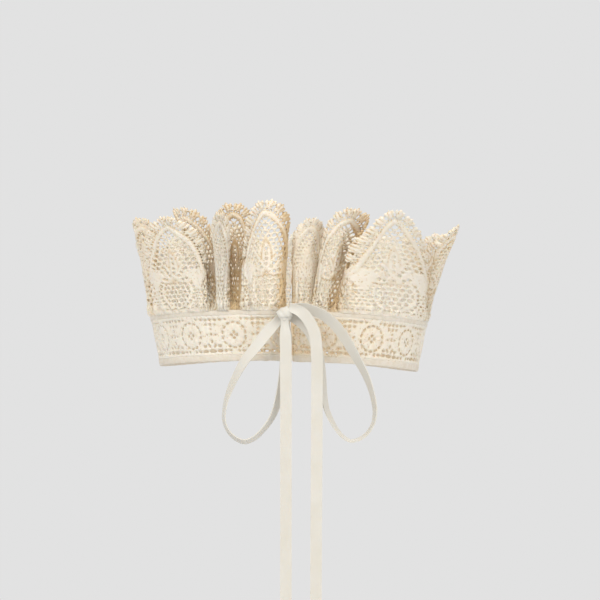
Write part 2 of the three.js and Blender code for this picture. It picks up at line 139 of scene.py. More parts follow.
# x, y, z, turn: the ribbon's runs, turn being how far its width faces sideways
RIBBON_RUNS = {
    "loop_left": [
        (-5, -67.2, 21.2, 0), (-10.3, -67.6, 15.8, 8), (-16.3, -67.6, 8.1, 24),
        (-21.2, -67.4, 1.9, 40), (-25.5, -67, -5.5, 54), (-28.9, -66.6, -12.9, 62),
        (-30.9, -66.2, -20.3, 70), (-31.3, -65.6, -26, 74), (-29.4, -65.2, -31.5, 76),
        (-25.5, -64.8, -35.4, 74), (-21.5, -64.5, -36.9, 71), (-17, -64.3, -35.3, 69),
        (-12, -64, -30.5, 66), (-8.4, -63.8, -25.2, 62), (-5.3, -63.7, -16.9, 54),
        (-3.1, -63.6, -7.3, 40), (-1.9, -63.6, 4.6, 20), (-1.7, -64.2, 14.7, 6),
        (-2.5, -65.6, 20.2, 0),
    ],
    "loop_right": [
        (1.4, -66, 26.8, 0), (5.5, -66.2, 26.9, 12), (10.3, -66.2, 26, 28),
        (15.4, -66.2, 24, 32), (20.2, -66.1, 20.4, 30), (24.8, -66, 15.1, 32),
        (28.8, -65.8, 8.7, 40), (32.9, -65.6, 1.4, 50), (36.1, -65.4, -4.6, 56),
        (38.4, -65.2, -10.2, 63), (40.1, -65, -16.5, 70), (40.8, -64.8, -22.6, 74),
        (39.7, -64.6, -28.5, 76), (37, -64.4, -32.8, 75), (33.5, -64.2, -35.4, 74),
        (29.4, -64, -36.5, 74), (25.7, -63.8, -34.6, 74), (22.6, -63.6, -31.2, 72),
        (20.1, -63.5, -26.8, 69), (18, -63.4, -21.9, 66), (16.4, -63.4, -14.5, 54),
        (15.3, -63.4, -6.4, 38), (13.8, -63.4, 3.2, 20), (11.9, -63.4, 11.8, 8),
        (8.1, -63.4, 18, 0), (4.2, -63.6, 21.2, 0), (0.6, -64.2, 22.9, 0),
    ],
    "tail_left": [
        (-2.3, -69.4, 20.7, 0), (-2.1, -69.6, 15.9, 0), (-1.8, -69.4, 8, 0),
        (-1.7, -68.8, -12, 0), (-1.7, -68, -50, 2), (-1.7, -67.6, -100, 4),
        (-1.8, -67.4, -154, 6),
    ],
    "tail_right": [
        (1, -69.8, 26.7, 0), (3.8, -70.5, 25.8, 0), (7.1, -70.4, 23.5, 0),
        (10, -70.2, 19.4, 0), (12, -69.9, 14.4, 0), (12.8, -69.6, 8.9, 0),
        (13.1, -69.3, 3, 0), (13.1, -68.8, -7.5, 0), (12.9, -68, -50, -3),
        (12.6, -67.6, -100, -5), (12.5, -67.4, -155, -6),
    ],
    "tie_left": [
        (-4.9, -59.8, 21.7, 0), (-4.4, -61.2, 22.8, 0), (-3.6, -62.7, 24.2, 0),
    ],
    "tie_right": [
        (3, -54.2, 22.9, 0), (1.9, -57.8, 24.2, 0), (-0.6, -63.1, 25.2, 0),
    ],
}
KNOT_CENTRE = (-2.4, -67, 23.9)
# half sizes of the knot's wrap along its axis, beside it and toward the front
KNOT_HALF = (3.1, 3.5, 3.4)
KNOT_AXIS = 30
KNOT_LIP = 0.62

# painted shade on the lace's inner side, which is turned from the lamps: how much more golden it
# is made
INNER_SIDE_SHADE = 0.5
# lace, top, foot: painted shade along the ruffle, how golden the lace is made in its folds and
# recesses, 0 to 1
RUFFLE_FOLD_SHADE = np.array([
    (0, 1, 1), (0.18, 1, 1), (0.3, 0.8, 0.9), (0.42, 0.1, 0.1), (0.5, 0, 0), (1, 0, 0.1),
    (1.15, 0.5, 0.8), (1.5, 0.6, 1), (1.8, 0.5, 0.9), (2, 0.1, 0.4), (2.2, 0, 0),
    (2.7, 0, 0), (2.9, 0.4, 0.6), (3.2, 0.6, 0.9), (3.4, 0.3, 0.8), (3.5, 0.1, 0.6),
    (3.9, 0.3, 0.6), (4.06, 0, 0), (4.9, 0, 0), (5.1, 0.3, 0.4), (5.3, 0.5, 0.6),
    (5.6, 0.3, 0.3), (5.8, 0.1, 0.1), (15.3, 0.1, 0.1), (15.8, 0.3, 0.6),
    (15.95, 0.5, 0.6), (16.08, 0, 0), (16.9, 0, 0), (17.1, 0.4, 0.7),
    (17.34, 0.6, 0.9), (17.45, 0.3, 0.8), (17.55, 0, 0.2), (17.8, 0, 0.1),
    (18, 0.4, 0.8), (18.3, 0.4, 0.6), (18.5, 0.3, 0.35), (18.7, 0.35, 0.45),
    (18.85, 0.7, 0.9), (19, 1, 1),
], float)
# lace, closed: where the lace is worked closer, with smaller holes
LACE_CLOSED = np.array([
    (0, 0), (2.1, 0), (2.3, 0.5), (2.65, 0.5), (2.85, 0), (4.7, 0), (4.95, 0.6),
    (14.9, 0.3), (15.6, 0), (17.9, 0), (18.1, 0.7), (19, 0.9),
], float)
# angle, tan: painted shade round the neck band, most golden in the recess at the front opening
BAND_OPENING_SHADE = np.array([
    (-180, 0), (-9, 0), (-6, 0.15), (-4.5, 0.6), (-2.6, 0.8), (1.4, 0.75), (5, 0.45),
    (21, 0.4), (30, 0.15), (36, 0), (180, 0),
], float)


# ---------- curves and surfaces ----------
def length_along(line):
    """Length from a line's start to each of its points."""
    steps = np.linalg.norm(np.diff(line, axis=0), axis=1)
    return np.concatenate([[0], np.cumsum(steps)])


def smooth(table, key, column, at):
    """Reads one column of a table on a smooth curve through its rows."""
    place, value = table[:, key], table[:, column]
    at = np.asarray(at, float)
    index = np.clip(np.searchsorted(place, at, side="right") - 1, 0, len(place) - 2)
    span = np.diff(place)
    rate = np.diff(value) / span
    slope = np.empty(len(place))
    slope[0], slope[-1] = rate[0], rate[-1]
    slope[1:-1] = (rate[:-1] * span[1:] + rate[1:] * span[:-1]) / (span[:-1] + span[1:])
    share = (at - place[index]) / span[index]
    ease = share * share * (3 - 2 * share)
    leave = share * (1 - share) ** 2 * span[index] * slope[index]
    arrive = share * share * (share - 1) * span[index] * slope[index + 1]
    return value[index] + (value[index + 1] - value[index]) * ease + leave + arrive


def ring_point(angle, height, tuck=0.0):
    """A point on the neck ring, its angle counted from the front toward +X."""
    angle = np.asarray(angle, float)
    turn = np.radians(angle)
    grow = FLARE * np.asarray(height, float) / BAND_TOP
    half_width, half_depth = HEM_HALF_WIDTH + grow, HEM_HALF_DEPTH + grow
    out_x, out_y = np.sin(turn) / half_width, -np.cos(turn) / half_depth
    size = np.hypot(out_x, out_y)
    inward = smooth(INSETS, 0, 1, (angle + 180) % 360 - 180) + tuck
    facing = np.cos(turn)
    lift = np.where(facing > 0, FRONT_LIFT, BACK_LIFT) * facing * facing
    lift = lift - SIDE_LIFT * np.sin(turn)
    return np.stack(
        np.broadcast_arrays(
            half_width * np.sin(turn) - out_x / size * inward,
            -half_depth * np.cos(turn) - out_y / size * inward,
            height + lift,
        ),
        -1,
    )


def back_folds(first, last):
    """Even waves for the hidden half of the ruffle."""
    folds = []
    steps = 2 * BACK_WAVES
    for step in range(1, steps):
        share = step / steps
        angle = first[ANGLE] + (last[ANGLE] - first[ANGLE]) * share + 1.2 * math.sin(2.4 * step)
        trough = step % 2 == 1
        reach = -13 + 2 * math.sin(1.7 * step) if trough else 9 + 2.5 * math.sin(2.9 * step)
        lean = math.radians(angle + 2.5 * math.sin(1.3 * step + 0.5))
        folds.append((
            first[LACE] + (last[LACE] - first[LACE]) * share,
            angle,
            2.8 if trough else -2.4,
            (BACK_TOP_HALF_WIDTH + reach) * math.sin(lean),
            -(BACK_TOP_HALF_DEPTH + reach) * math.cos(lean),
            46 + 1.5 * math.sin(2.2 * step),
        ))
    return folds


TURNED_RIGHT = [(row[0], row[1] - 360, *row[2:]) for row in RIGHT_FOLDS]
FOLDS = np.array(
    LEFT_FOLDS + back_folds(LEFT_FOLDS[-1], TURNED_RIGHT[0]) + TURNED_RIGHT, float
)


def ease_between(value, low, high):
    share = np.clip((value - low) / (high - low), 0, 1)
    return share * share * (3 - 2 * share)


def ruffle_point(along, up):
    """Place of a point of the flat ruffle lace, along and up it in millimetres."""
    lace, level = along / SCALLOP_WIDTH, up / LACE_HEIGHT
    angle, tuck, top_x, top_y, rise = (
        smooth(FOLDS, LACE, column, lace) for column in (ANGLE, TUCK, TOP_X, TOP_Y, RISE)
    )
    foot = ring_point(angle, RUFFLE_FOOT, tuck * ease_between(up, -2.0, 3.5))
    opened = level * np.abs(level) ** OPENING_POWER * np.sign(np.maximum(level, 0))
    point = foot.copy()
    point[..., 0] += (top_x - foot[..., 0]) * opened
    point[..., 1] += (top_y - foot[..., 1]) * opened
    point[..., 2] += rise * level
    return point


def soft_noise(along, up, size):
    """Slow smooth unevenness, between about -1 and 1."""
    a, b = along / size, up / size
    return (
        np.sin(2.1 * a + 1.3 * np.sin(1.7 * b + 0.4))
        + np.sin(1.3 * b - 1.9 * a + 2.0)
        + np.sin(3.7 * a + 0.8 * b + 5.1) * 0.6
    ) / 2.6


def normals_of(point_at, along, up):
    """Unit normals of a cloth surface, right-handed from along to up."""
    small = 0.05
    run = point_at(along + small, up) - point_at(along - small, up)
    rise = point_at(along, up + small) - point_at(along, up - small)
    normal = np.cross(run, rise)
    return normal / np.maximum(np.linalg.norm(normal, axis=-1, keepdims=True), 1e-9)


# ---------- lace patterns, as distance to the nearest hole ----------
def oval_hole(x, y, at_x, at_y, half_x, half_y, lean=0.0):
    """Rough distance outside a leaning oval hole, negative inside it."""
    c, s = math.cos(lean), math.sin(lean)
    dx, dy = x - at_x, y - at_y
    along, across = dx * c + dy * s, -dx * s + dy * c
    return (np.hypot(along / half_x, across / half_y) - 1) * min(half_x, half_y)


def hole_rows(x, y, pitch_x, pitch_y, radius, start_x=0.0, start_y=0.0):
    """Round holes on a net whose rows are half a step apart."""
    row = np.round((y - start_y) / pitch_y)
    best = np.full(np.shape(x), FAR)
    for side in (-1, 0, 1):
        near = row + side
        shift = (near % 2) * pitch_x / 2
        column = np.round((x - start_x - shift) / pitch_x)
        gap_x = x - start_x - shift - column * pitch_x
        gap_y = y - start_y - near * pitch_y
        best = np.minimum(best, np.hypot(gap_x, gap_y) - radius)
    return best


def hole_ring(x, y, centre_x, centre_y, radius, count, half_long, half_wide, turn=0.0):
    """Oval holes laid end to end round a circle."""
    gap_x, gap_y = x - centre_x, y - centre_y
    far = np.hypot(gap_x, gap_y)
    step = 2 * math.pi / count
    angle = np.arctan2(gap_y, gap_x) - turn
    angle -= np.round(angle / step) * step
    return (
        np.hypot(angle * radius / half_long, (far - radius) / half_wide) - 1
    ) * min(half_long, half_wide)


def scallop_line(half_width=SCALLOP_WIDTH / 2, count=240):
    """The arch of one scallop: x, y and the length along it."""
    x = np.linspace(-half_width, half_width, count)
    y = LACE_HEIGHT * (1 - SCALLOP_DEPTH * (x / half_width) ** 2)
    length = np.concatenate([[0], np.cumsum(np.hypot(np.diff(x), np.diff(y)))])
    return x, y, length


def edge_measure(x, up):
    """Distance inside the scalloped edge, and the length along it."""
    line_x, line_y, length = scallop_line()
    depth = np.full(x.shape, 99.0)
    place = np.zeros(x.shape)
    for side in (-1, 0, 1):
        for px, py, run in zip(line_x + side * SCALLOP_WIDTH, line_y, length):
            far = np.hypot(x - px, up - py)
            nearer = far < depth
            depth = np.where(nearer, far, depth)
            place = np.where(nearer, run, place)
    half = SCALLOP_WIDTH / 2
    arch = LACE_HEIGHT * (1 - SCALLOP_DEPTH * (x / half) ** 2)
    return np.where(up > arch, -depth, depth), place, length[-1]


def cord_over(distance, half_width, height):
    """A rounded raised cord, by distance from its line."""
    return height * np.sqrt(np.maximum(1 - (distance / half_width) ** 2, 0))


def handmade(along, up):
    """Small unevenness of hand-guided stitching, in the lace's flat plane."""
    return (
        along + 0.4 * soft_noise(along, up, 6.1),
        up + 0.35 * soft_noise(up + 31, along, 7.3),
    )


FAN_COUNT = 12
RIB_DEPTH = 6.6
NET_PITCH = 2.75
LEAF_FOOT = 16.5
LEAF_DEPTH = 14.4
NET_MIDDLE, NET_REACH = 10.5, 7.8
FLOWER_MIDDLE = 12.6
# radius of the rows of holes below the rib, outermost first
NET_ROWS = (0.95, 0.85, 0.62)


def ruffle_lace(along, up):
    """The ruffle's lace: distance to its nearest hole or edge, how far it is raised
    and the painted shade that makes it golden in its grooves."""
    even_along = along
    along, up = handmade(along, up)
    x = along % SCALLOP_WIDTH - SCALLOP_WIDTH / 2
    depth, place, whole = edge_measure(x, up)

    # fans of three petals round the edge, with a large hole between two fans
    fan = whole / FAN_COUNT
    share = place / fan % 1.0
    petal = 0.5 - 0.5 * np.cos(6 * math.pi * share)
    outline = depth - 1.45 * (2 * share - 1) ** 2 - 1.05 * (1 - petal)
    across = (share - np.round(share)) * fan
    from_petal = (share * 3 % 1.0 - 0.5) * fan / 3
    holes = [
        np.hypot(across / 0.8, (depth - 3.6) / 0.9) * 0.8 - 0.8,
        np.hypot(from_petal, depth - 5.1) - 0.5,
    ]
    in_fan = ease_between(depth, 0.2, 1.4) * (1 - ease_between(depth, 3.4, 4.4))
    raised = [0.32 * np.sqrt(petal) * in_fan]
    # painted shade in the grooves between the petals
    groove_shade = [0.7 * (1 - petal) ** 3 * in_fan]

    # stitched rib with a groove at each side
    stitched = 0.7 + 0.3 * np.cos(2 * math.pi * place / 1.6)
    raised.append(cord_over(depth - RIB_DEPTH, 0.7, 0.34) * stitched)
    # painted shade in the grooves beside the rib
    groove_shade.append(0.3 * cord_over(np.abs(depth - RIB_DEPTH) - 1.1, 0.5, 1.0))

    # net following the rib
    between = (place > 0.4) & (place < whole - 0.4)
    for row, radius in enumerate(NET_ROWS):
        phase = place / NET_PITCH + 0.5 * (row % 2)
        gap = (phase - np.round(phase)) * NET_PITCH
        from_row = np.hypot(gap, depth - (8.9 + 2.3 * row)) - radius
        holes.append(np.where(between, from_row, FAR))
    raised.append(cord_over(depth - 15.3, 0.8, 0.16) * between)

    # leaves spread from the middle of the scallop, each with a row of holes
    leaf = np.full(x.shape, FAR)
    inner = depth > LEAF_DEPTH
    for lean in (-72, -36, 0, 36, 72):
        turn = math.radians(90 - lean)
        reach = 9.2 if lean == 0 else 8.0
        middle_x = math.cos(turn) * reach * 0.98
        middle_y = LEAF_FOOT + math.sin(turn) * reach * 0.98
        leaf = np.minimum(leaf, oval_hole(x, up, middle_x, middle_y, reach * 0.75, 2.2, turn))
        for dot in range(4):
            at = reach * (0.56 + 0.27 * dot)
            dot_x, dot_y = math.cos(turn) * at, LEAF_FOOT + math.sin(turn) * at
            holes.append(np.where(inner, np.hypot(x - dot_x, up - dot_y) - 0.62, FAR))
    raised.append(0.24 * ease_between(-leaf, -0.1, 0.7) * inner)
    # painted shade in the groove round each leaf
    groove_shade.append(0.5 * cord_over(leaf - 0.3, 0.55, 1.0) * inner)

    # open net low in the middle, inside a ring of pinholes
    low = np.hypot(x, up - NET_MIDDLE)
    net = np.maximum(hole_rows(x, up, 2.8, 2.4, 0.88, 0.4, 1.0), low - NET_REACH)
    ring = hole_ring(x, up, 0, NET_MIDDLE, NET_REACH + 2.2, 29, 0.62, 0.55)
    above_foot = np.maximum(np.minimum(net, ring), 2.4 - up)
    holes.append(np.where(leaf > 0.2, above_foot, FAR))
    raised.append(cord_over(low - NET_REACH - 0.9, 0.7, 0.22))

    # small flower at each side, where two scallops join in close stitching
    beside = np.abs(x) - SCALLOP_WIDTH / 2
    apart = np.hypot(beside, up - FLOWER_MIDDLE)
    holes += [
        hole_ring(beside, up, 0, FLOWER_MIDDLE, 1.7, 5, 0.6, 0.6, 0.31),
        hole_ring(beside, up, 0, FLOWER_MIDDLE, 4.8, 13, 0.65, 0.6),
        oval_hole(beside, up, 0, 4.6, 0.5, 0.9),
    ]
    petals = 0.5 + 0.5 * np.cos(8 * np.arctan2(up - FLOWER_MIDDLE, beside))
    in_flower = ease_between(apart, 2.0, 2.8) * (1 - ease_between(apart, 5.4, 6.4))
    raised.append(0.34 * petals * in_flower)
    # painted shade between the flower's petals
    groove_shade.append(0.4 * (1 - petals) ** 2 * in_flower)

    # fine ground with small uneven holes everywhere else
    uneven = 0.42 + 0.16 * soft_noise(along + 50, up, 2.7)
    ground = hole_rows(x, up, 2.15, 1.85, uneven, 0.2, 0.6)
    taken = (leaf < 0.4) | (low < NET_REACH + 2.9) | (apart < 5.2) | (depth < 15.8) | (up < 2.6)
    holes.append(np.where(taken, FAR, ground))

    # pinholes along the foot
    holes.append(hole_rows(even_along, up, 1.9, 50.0, 0.36, 0.0, 1.7))

    closed = 0.5 * np.interp(even_along / SCALLOP_WIDTH, *LACE_CLOSED.T)
    solid = np.minimum(outline, np.minimum.reduce(holes) + closed)
    return solid, np.maximum.reduce(raised), np.maximum.reduce(groove_shade) * (1 - 1.6 * closed)


BAND_REPEAT = 24.2
BAND_START = {"left": 3.0, "right": 15.1}
BAND_LACE_HEIGHT = 18.4

# beside the stem, height, half length, half height, lean: each hole of a half flower
BAND_LOW_FLOWER = (
    (0, 1.6, 2.0, 0.85, 0),
    (4.2, 1.6, 1.6, 0.75, 0),
    (7.4, 1.6, 1.0, 0.6, 0),
    (9.9, 1.6, 0.55, 0.7, 0),
    (1.6, 4.1, 1.1, 0.6, 0.9),
    (4.2, 3.9, 1.1, 0.6, 0.15),
    (0, 6.1, 0.6, 0.9, 0),
)
BAND_HIGH_FLOWER = (
    (0, 1.5, 0.75, 0.7, 0),
    (2.5, 1.7, 1.0, 0.6, 0.2),
    (5.2, 1.6, 0.9, 0.55, 0),
    (8.0, 1.5, 0.6, 0.5, 0),
    (0, 4.0, 0.75, 0.8, 0),
    (2.3, 4.0, 0.65, 0.6, 0.6),
    (0, 6.3, 0.55, 0.6, 0),
)


def band_lace(along, up):
    """The neck band's lace: distance to its nearest hole, how far it is raised
    and the painted shade that makes it golden in its grooves."""
    loose_along, loose_up = handmade(along, up)
    along, level = (along + loose_along) / 2, (up + loose_up) / 2
    x = (along + BAND_REPEAT / 2) % BAND_REPEAT - BAND_REPEAT / 2
    y = level - BAND_LACE_HEIGHT / 2
    from_middle = np.hypot(x, y)

    # medallion: four holes inside a closely stitched disc and a ring of dashes
    holes = [
        hole_ring(x, y, 0, 0, 1.35, 4, 0.68, 0.68),
        hole_ring(x, y, 0, 0, 6.1, 14, 0.95, 0.52, 0.22),
    ]
    petals = 0.5 + 0.5 * np.cos(8 * np.arctan2(y, x))
    in_disc = ease_between(from_middle, 1.6, 2.6) * (1 - ease_between(from_middle, 4.4, 5.2))
    raised = [0.22 * petals * in_disc]
    # painted shade between the disc's petals
    groove_shade = 0.25 * (1 - petals) ** 2 * in_disc

    # half flowers between the medallions, upright below and upside down above
    across = BAND_REPEAT / 2 - np.abs(x)
    for flip, flower in ((1, BAND_LOW_FLOWER), (-1, BAND_HIGH_FLOWER)):
        rise = BAND_LACE_HEIGHT / 2 + y * flip
        holes += [oval_hole(across, rise, *hole) for hole in flower]
        raised.append(cord_over(rise - 0.35, 0.6, 0.2))
    holes.append(oval_hole(across, y, 0, 0.4, 0.6, 0.8))
    holes.append(oval_hole(across, y, 2.3, 0.2, 0.55, 0.5))

    # the far end of each half is worked closer
    closed = 0.35 * ease_between(loose_along, 95.0, 110.0)
    return np.minimum.reduce(holes) + closed, np.maximum.reduce(raised), groove_shade


# ---------- cutting lace cloth from a pattern ----------
# how far inside the cloth's edge its outermost corners stay
LEAST_INSIDE = 0.02
# distance from a hole at which the cloth has its full thickness
EDGE_ROUNDING = 0.5
# painted shade beside each hole, whose walls shade the cloth: how golden it is made on the right
# side, the inner side and the cut edge
OUTER_HOLE_SHADE, INNER_HOLE_SHADE, EDGE_HOLE_SHADE = 0.42, 0.28, 0.4


def largest_part(inside):
    """Keeps only the biggest connected part of what is inside."""
    label = np.where(inside, np.arange(inside.size).reshape(inside.shape) + 1, 0)
    while True:
        wide = np.pad(label, 1)
        beside = (wide[2:, 1:-1], wide[:-2, 1:-1], wide[1:-1, 2:], wide[1:-1, :-2])
        spread = np.where(inside, np.maximum.reduce([label, *beside]), 0)
        if np.array_equal(spread, label):
            return label == np.bincount(label[label > 0]).argmax()
        label = spread


def round_cells(first, second, third, fourth):
    """Values at the four corners or sides of each grid cell, in order round it."""
    return np.stack([first, second, third, fourth], -1)


def cell_corners(grid):
    return round_cells(grid[:-1, :-1], grid[1:, :-1], grid[1:, 1:], grid[:-1, 1:])


def cut_cloth(along, up, solid, inside):
    """Cuts a flat grid along the edge of what is inside. Returns the corners inside,
    the points where the grid crosses the edge, and the faces, which number these
    points on from twice the corners, because both sides of the cloth share them."""
    count = int(inside.sum())
    corner = np.full(solid.shape, -1)
    corner[inside] = np.arange(count)
    next_index = 2 * count
    edges, crossings = [], []
    for axis in (0, 1):
        low = tuple(slice(None, -1) if a == axis else slice(None) for a in (0, 1))
        high = tuple(slice(1, None) if a == axis else slice(None) for a in (0, 1))
        crossed = inside[low] != inside[high]
        share = np.clip(solid[low] / (solid[low] - solid[high] + 1e-12), 0.12, 0.88)
        index = np.full(crossed.shape, -1)
        index[crossed] = next_index + np.arange(crossed.sum())
        next_index += int(crossed.sum())
        crossings.append(index)
        edges.append(np.stack([
            (grid[low] + (grid[high] - grid[low]) * share)[crossed] for grid in (along, up)
        ], -1))

    # whole cells are squares, and cells on the edge are cut to what is inside
    whole = cell_corners(inside).all(-1)
    partly = cell_corners(inside).any(-1) & ~whole
    side, rise = crossings
    sides = round_cells(side[:, :-1], rise[1:], side[:, 1:], rise[:-1])
    walks = np.stack([cell_corners(corner)[partly], sides[partly]], -1).reshape(-1, 8)
    faces = cell_corners(corner)[whole].tolist()
    faces += [[v for v in walk if v >= 0] for walk in walks.tolist()]
    return np.stack([along[inside], up[inside]], -1), np.concatenate(edges), faces


def cloth_object(points, faces, flat, painted_shade):
    """Makes the mesh, with its flat places as UV map and its painted shade as an attribute."""
    mesh = bpy.data.meshes.new("lace")
    mesh.from_pydata((points * MM).tolist(), [], faces)
    face_outward(mesh)
    layer = mesh.uv_layers.new(name="flat")
    loops = np.empty(len(mesh.loops), int)
    mesh.loops.foreach_get("vertex_index", loops)
    layer.data.foreach_set("uv", (flat[loops] * FLAT_SCALE).ravel())
    shade = mesh.attributes.new("painted_shade", "FLOAT", "POINT")
    shade.data.foreach_set("value", np.clip(painted_shade, 0, 1))
    mesh.polygons.foreach_set("use_smooth", np.ones(len(mesh.polygons), bool))
    mesh.update()
    obj = bpy.data.objects.new("lace", mesh)
    bpy.context.scene.collection.objects.link(obj)
    return obj


def lace_mesh(start, end, foot, top, step, pattern, point_at, thick, outward, shade_at):
    """Cuts lace from a flat grid and lays it on a surface as a closed soft-edged sheet.
    outward is 1 or -1, the way its right side faces along the surface's normal.
    Returns the object and the flat area of its cloth in square metres."""
    columns = int(math.ceil((end - start) / step))
    rows = int(math.ceil((top - foot) / step))
    along = start + (np.arange(columns + 3) - 1) * (end - start) / columns
    up = foot + (np.arange(rows + 3) - 1) * (top - foot) / rows
    along, up = np.meshgrid(along, up, indexing="ij")
    solid, raised, groove_shade = pattern(along, up)
    solid = np.minimum(solid, np.minimum(along - start, end - along) - 0.001)
    solid = np.minimum(solid, np.minimum(up - foot, top - up) - 0.001)
    inside = largest_part(solid > LEAST_INSIDE)
    solid = np.where(
        inside, np.maximum(solid, LEAST_INSIDE), np.minimum(solid, -LEAST_INSIDE / 2)
    )
    corners, edges, faces = cut_cloth(along, up, solid, inside)

    # thin and rounded beside each hole
    from_hole = solid[inside]
    body = np.minimum(from_hole / EDGE_ROUNDING, 1.0)
    half = thick / 2 * np.sqrt(np.maximum(1 - (1 - body) ** 2, 0.06))
    swell = raised[inside] * ease_between(from_hole, 0.0, 0.6)
    swell += 0.09 * soft_noise(corners[:, 0], corners[:, 1], 1.2)
    normal = outward * normals_of(point_at, corners[:, 0], corners[:, 1])
    base = point_at(corners[:, 0], corners[:, 1])
    points = np.concatenate([
        base + normal * (half + swell)[:, None],
        base - normal * (half + 0.4 * swell)[:, None],
        point_at(edges[:, 0], edges[:, 1]),
    ])

    # painted shade, golden: in the folds and recesses, on the inner side, in the grooves and
    # beside each hole
    count = len(corners)
    flat = np.concatenate([corners, corners, edges])
    painted_shade = shade_at(flat[:, 0], flat[:, 1])
    painted_shade[:count] += OUTER_HOLE_SHADE * np.exp(-from_hole / 0.36) + groove_shade[inside]
    painted_shade[count:2 * count] += INNER_SIDE_SHADE + INNER_HOLE_SHADE * np.exp(-from_hole / 0.3)
    painted_shade[2 * count:] += EDGE_HOLE_SHADE

    under = [[v + count if v < count else v for v in reversed(face)] for face in faces]
    area = 0.0
    for face in faces:
        x, y = flat[face, 0], flat[face, 1]
        area += abs(np.dot(x, np.roll(y, -1)) - np.dot(y, np.roll(x, -1))) / 2
    return cloth_object(points, faces + under, flat, painted_shade), area * MM * MM


# ---------- modelling helpers ----------
def clear_selection():
    if bpy.context.object and bpy.context.object.mode != "OBJECT":
        bpy.ops.object.mode_set(mode="OBJECT")
    bpy.ops.object.select_all(action="DESELECT")


def finish_piece(obj, node, ending, material):
    """Names a piece after the node it stands for, and gives it its cloth."""
    obj.name = obj.data.name = f"{node}_{ending}"
    obj.data.materials.clear()
    obj.data.materials.append(material)
    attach(obj, "root")
    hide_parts(node)


def corners_of(mesh):
    """Every vertex's place, one row each."""
    flat = np.empty(len(mesh.vertices) * 3)
    mesh.vertices.foreach_get("co", flat)
    return flat.reshape(-1, 3)


def face_outward(mesh):
    """Turns a closed mesh's faces outward, where its volume comes out negative."""
    mesh.calc_loop_triangles()
    faces = np.empty(len(mesh.loop_triangles) * 3, int)
    mesh.loop_triangles.foreach_get("vertices", faces)
    a, b, c = (corners_of(mesh)[faces.reshape(-1, 3)[:, k]] for k in range(3))
    if np.einsum("ij,ij->i", a, np.cross(b, c)).sum() < 0:
        mesh.flip_normals()


def move_corners(mesh, points):
    """Puts the vertices at points given in millimetres."""
    mesh.vertices.foreach_set("co", (points * MM).ravel())
    mesh.update()


def grid_strip(columns, rows, length, width, place):
    """A grid laid out as a strip: place(u, v) gives each corner, u and v from 0 to 1.
    Its UV map holds its flat size, one unit to ten millimetres."""
    clear_selection()
    bpy.ops.mesh.primitive_grid_add(x_subdivisions=columns, y_subdivisions=rows, size=2)
    obj = bpy.context.object
    mesh = obj.data
    u, v, _ = (corners_of(mesh).T + 1) / 2
    move_corners(mesh, place(u, v))
    layer = mesh.uv_layers.active
    layer.name = "flat"
    uv = np.empty(len(mesh.loops) * 2)
    layer.data.foreach_get("uv", uv)
    uv = uv.reshape(-1, 2) * np.array([length, width]) * FLAT_SCALE
    layer.data.foreach_set("uv", uv.ravel())
    return obj


def thicken(obj, thick, edge=0.0):
    """Gives a strip its thickness and, where edge is given, rounded edges that wide."""
    solid = obj.modifiers.new("thickness", "SOLIDIFY")
    solid.thickness, solid.offset = thick * MM, 0
    if edge:
        bevel = obj.modifiers.new("soft edge", "BEVEL")
        bevel.width, bevel.segments = edge * MM, 2
        bevel.limit_method, bevel.angle_limit = "ANGLE", math.radians(50)
    bpy.context.view_layer.objects.active = obj
    for modifier in list(obj.modifiers):
        bpy.ops.object.modifier_apply(modifier=modifier.name)
    shade_soft(obj, 60)


def shade_soft(obj, degrees):
    clear_selection()
    obj.select_set(True)
    bpy.context.view_layer.objects.active = obj
    bpy.ops.object.shade_smooth_by_angle(angle=math.radians(degrees))
    clear_selection()


# ---------- ribbon ----------
PINCH_LENGTH = 9.0
INTO_KNOT = 1.4


def into_knot(run, ends):
    """A ribbon's run, carried on into the knot at the ends that it holds."""
    rows = np.array(run, float)
    for end, beside in ((0, 1), (-1, -2)):
        if ("start", "end")[end] in ends:
            way = rows[end, :3] - rows[beside, :3]
            rows[end, :3] += way / np.linalg.norm(way) * INTO_KNOT
    return rows


def ribbon_line(run, steps):
    """Even stations along a ribbon's run: centres, tangents, turns and whole length."""
    place = length_along(run[:, :3])
    table = np.column_stack([place, run])
    fine = np.linspace(0, place[-1], 600)

    def centre_at(far):
        return np.column_stack([smooth(table, 0, column, far) for column in (1, 2, 3)])

    length = length_along(centre_at(fine))
    at = np.interp(np.linspace(0, length[-1], steps + 1), length, fine)
    small = 0.05
    ahead = centre_at(np.minimum(at + small, place[-1]))
    tangent = ahead - centre_at(np.maximum(at - small, 0))
    tangent /= np.linalg.norm(tangent, axis=1, keepdims=True)
    return centre_at(at), tangent, np.radians(smooth(table, 0, 4, at)), length[-1]


def ribbon_frame(tangent, turn):
    """Directions across and through the ribbon at each station."""
    front, above = np.array([0, 1.0, 0]), np.array([0, 0, 1.0])
    flat = np.cross(tangent, front)
    deep = np.cross(tangent, flat)
    steep = np.abs(tangent[:, 1]) > 0.7
    other = np.cross(tangent, above)
    flat[steep] = np.cross(tangent, other)[steep]
    deep[steep] = other[steep]
    flat /= np.linalg.norm(flat, axis=1, keepdims=True)
    deep /= np.linalg.norm(deep, axis=1, keepdims=True)
    wide = flat * np.cos(turn)[:, None] + deep * np.sin(turn)[:, None]
    through = np.cross(tangent, wide)
    return wide, through / np.linalg.norm(through, axis=1, keepdims=True)


